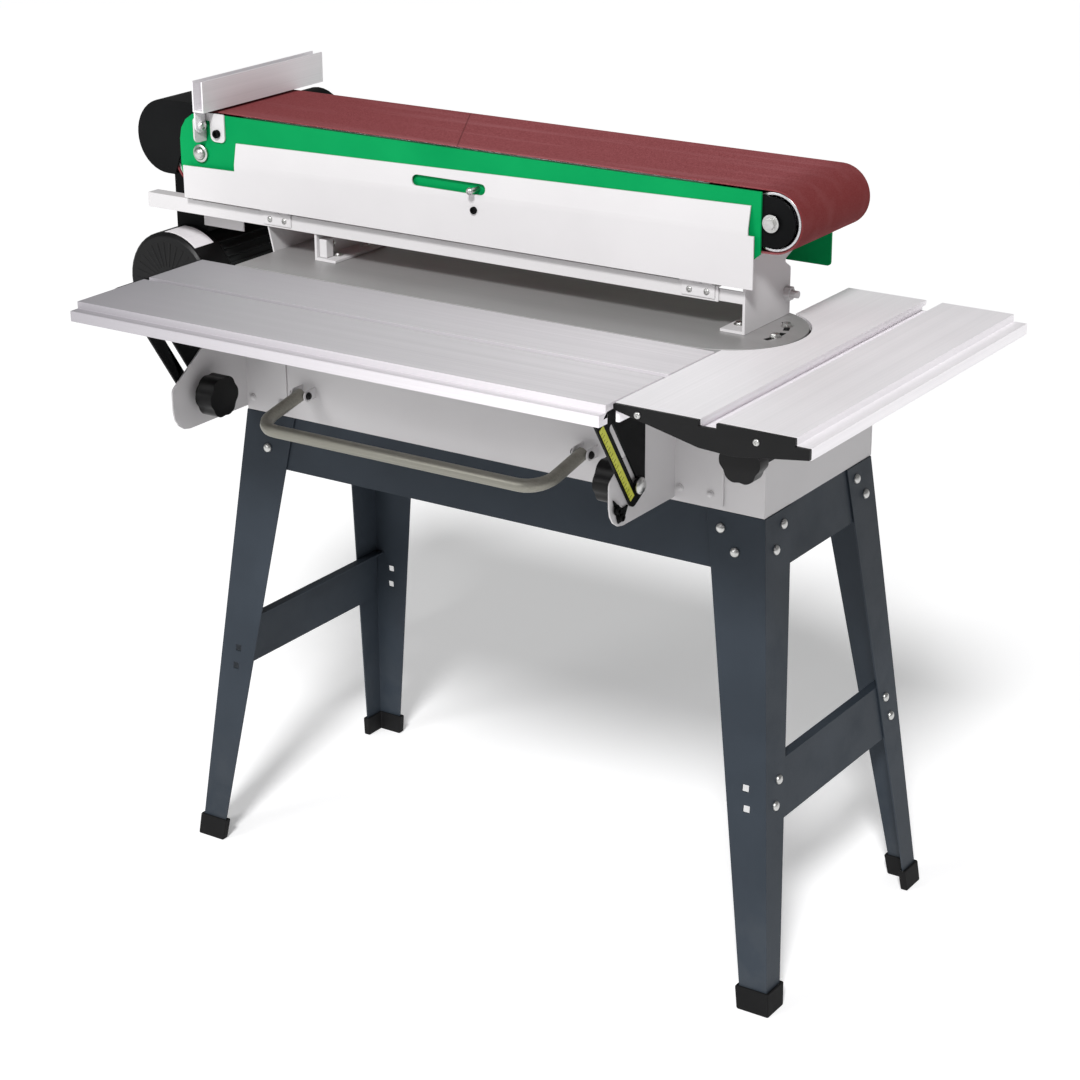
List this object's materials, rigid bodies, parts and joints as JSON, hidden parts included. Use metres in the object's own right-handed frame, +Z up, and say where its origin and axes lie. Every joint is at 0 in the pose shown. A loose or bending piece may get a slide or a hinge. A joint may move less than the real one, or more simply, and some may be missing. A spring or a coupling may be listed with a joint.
{
  "type": "long-belt edge sander",
  "caption": "Edge sander with a tilting belt head, flip-up fence, sliding front and end tables, a bail handle and a splayed sheet-metal stand.",
  "frame": {"origin": "on the floor under the middle of the stand", "axes": "+X along the belt from the drive drum to the idler drum, +Y away from the operator, +Z up"},
  "size_m": [1.0755, 0.672, 0.993],
  "materials": {
    "slate_paint": "dark slate blue enamel, satin",
    "white_paint": "white enamel, satin",
    "green_paint": "green enamel, satin",
    "black_paint": "black enamel, satin",
    "black_plastic": "black moulded plastic",
    "black_rubber": "black rubber",
    "aluminium": "brushed extruded aluminium",
    "pale_aluminium": "pale satin extruded aluminium",
    "zinc_plate": "zinc-plated steel",
    "bright_steel": "bright ground steel",
    "grey_steel": "satin grey steel plate",
    "tube_steel": "plain steel tube",
    "motor_grey": "dark grey enamel",
    "abrasive": "red-brown abrasive cloth",
    "scale_yellow": "yellow printed scale strip",
    "go_green": "green push button",
    "stop_red": "red push button"
  },
  "bodies": {
    "base": {"leg_front_left": "slate_paint", "leg_front_right": "slate_paint", "leg_back_left": "slate_paint", "leg_back_right": "slate_paint", "foot_front_left": "black_rubber", "foot_front_right": "black_rubber", "foot_back_left": "black_rubber", "foot_back_right": "black_rubber", "rail_front": "slate_paint", "rail_back": "slate_paint", "rail_left": "slate_paint", "rail_right": "slate_paint", "brace_left": "slate_paint", "brace_right": "slate_paint", "cabinet_shell": "white_paint", "cabinet_rear_cover": "white_paint", "table_bracket_left": "white_paint", "table_bracket_right": "white_paint", "base_plate": "grey_steel", "switch_box": "black_plastic", "head_bracket_left": "white_paint", "head_bracket_right": "white_paint", "hinge_rail": "white_paint", "rail_bracket": "white_paint", "hinge_left_lower_leaf": "white_paint", "hinge_right_lower_leaf": "white_paint", "pointer": "black_paint"},
    "head": {"head_front_plate": "green_paint", "head_rear_plate": "green_paint", "platen": "bright_steel", "head_front_panel": "white_paint", "dust_hood": "black_paint", "motor_bracket": "black_paint", "motor_body": "motor_grey", "motor_fan_cowl": "black_plastic", "drive_guard": "black_paint", "v_belt": "black_rubber", "sanding_belt": "abrasive", "fence_bracket": "white_paint", "hinge_left_upper_leaf": "white_paint", "hinge_right_upper_leaf": "white_paint"},
    "drive_drum": {"drive_drum": "bright_steel", "drum_shaft": "zinc_plate"},
    "motor_rotor": {"motor_rotor": "zinc_plate"},
    "tension_carriage": {"tension_carriage": "black_paint", "idler_axle": "zinc_plate"},
    "idler_drum": {"idler_drum": "bright_steel"},
    "fence": {"fence_channel": "white_paint"},
    "front_table": {"front_table": "aluminium", "table_frame": "black_paint", "scale_strip": "scale_yellow"},
    "left_knob": {"knob_left": "black_plastic"},
    "right_knob": {"knob_right": "black_plastic"},
    "end_table": {"end_table": "pale_aluminium", "end_table_cap": "black_plastic", "end_table_carriage": "black_paint"},
    "end_knob": {"end_table_knob": "black_plastic"},
    "bail": {"bail": "tube_steel"},
    "start_button": {"start_button": "go_green"},
    "stop_button": {"stop_button": "stop_red"}
  },
  "joints": [
    {"name": "head_tilt", "type": "hinge", "parent": "base", "child": "head", "pos_m": [0, -0.193, 0.849], "axis": [1, 0, 0], "range_deg": [0, 90]},
    {"name": "drum_spin", "type": "hinge", "parent": "head", "child": "drive_drum", "pos_m": [-0.359, -0.112, 0.904], "axis": [0, 1, 0], "continuous": true},
    {"name": "motor_spin", "type": "hinge", "parent": "head", "child": "motor_rotor", "pos_m": [-0.4285, -0.112, 0.735], "axis": [0, 1, 0], "continuous": true},
    {"name": "idler_tension", "type": "slide", "parent": "head", "child": "tension_carriage", "axis": [1, 0, 0], "range_m": [-0.006, 0], "stiffness_N_per_m": 20000, "springref_m": 0.01},
    {"name": "idler_spin", "type": "hinge", "parent": "tension_carriage", "child": "idler_drum", "pos_m": [0.397, -0.112, 0.9205], "axis": [0, 1, 0], "continuous": true},
    {"name": "fence_flip", "type": "hinge", "parent": "head", "child": "fence", "pos_m": [-0.334, -0.205, 0.94], "axis": [1, 0, 0], "range_deg": [0, 90]},
    {"name": "front_table_slide", "type": "slide", "parent": "base", "child": "front_table", "axis": [0, 0.5476, -0.8368], "range_m": [0, 0.095]},
    {"name": "left_knob_turn", "type": "hinge", "parent": "base", "child": "left_knob", "pos_m": [-0.363, -0.214, 0.617], "axis": [1, 0, 0], "range_deg": [0, 270]},
    {"name": "right_knob_turn", "type": "hinge", "parent": "base", "child": "right_knob", "pos_m": [0.248, -0.214, 0.617], "axis": [1, 0, 0], "range_deg": [0, 270]},
    {"name": "end_table_slide", "type": "slide", "parent": "base", "child": "end_table", "axis": [0, 0, -1], "range_m": [0, 0.095]},
    {"name": "end_knob_turn", "type": "hinge", "parent": "end_table", "child": "end_knob", "pos_m": [0.4985, -0.449, 0.7525], "axis": [0, 1, 0], "range_deg": [0, 270]},
    {"name": "bail_swing", "type": "hinge", "parent": "base", "child": "bail", "pos_m": [-0.0645, -0.1425, 0.6105], "axis": [-1, 0, 0], "range_deg": [0, 35]},
    {"name": "start_push", "type": "slide", "parent": "base", "child": "start_button", "axis": [0, -1, 0], "range_m": [0, 0.003], "stiffness_N_per_m": 400, "springref_m": -0.002},
    {"name": "stop_push", "type": "slide", "parent": "base", "child": "stop_button", "axis": [0, -1, 0], "range_m": [0, 0.003], "stiffness_N_per_m": 400, "springref_m": -0.002}
  ],
  "couplings": [
    {"joint": "motor_spin", "follows": "drum_spin", "ratio": 1.2264},
    {"joint": "idler_spin", "follows": "drum_spin", "ratio": 1.5038}
  ]
}
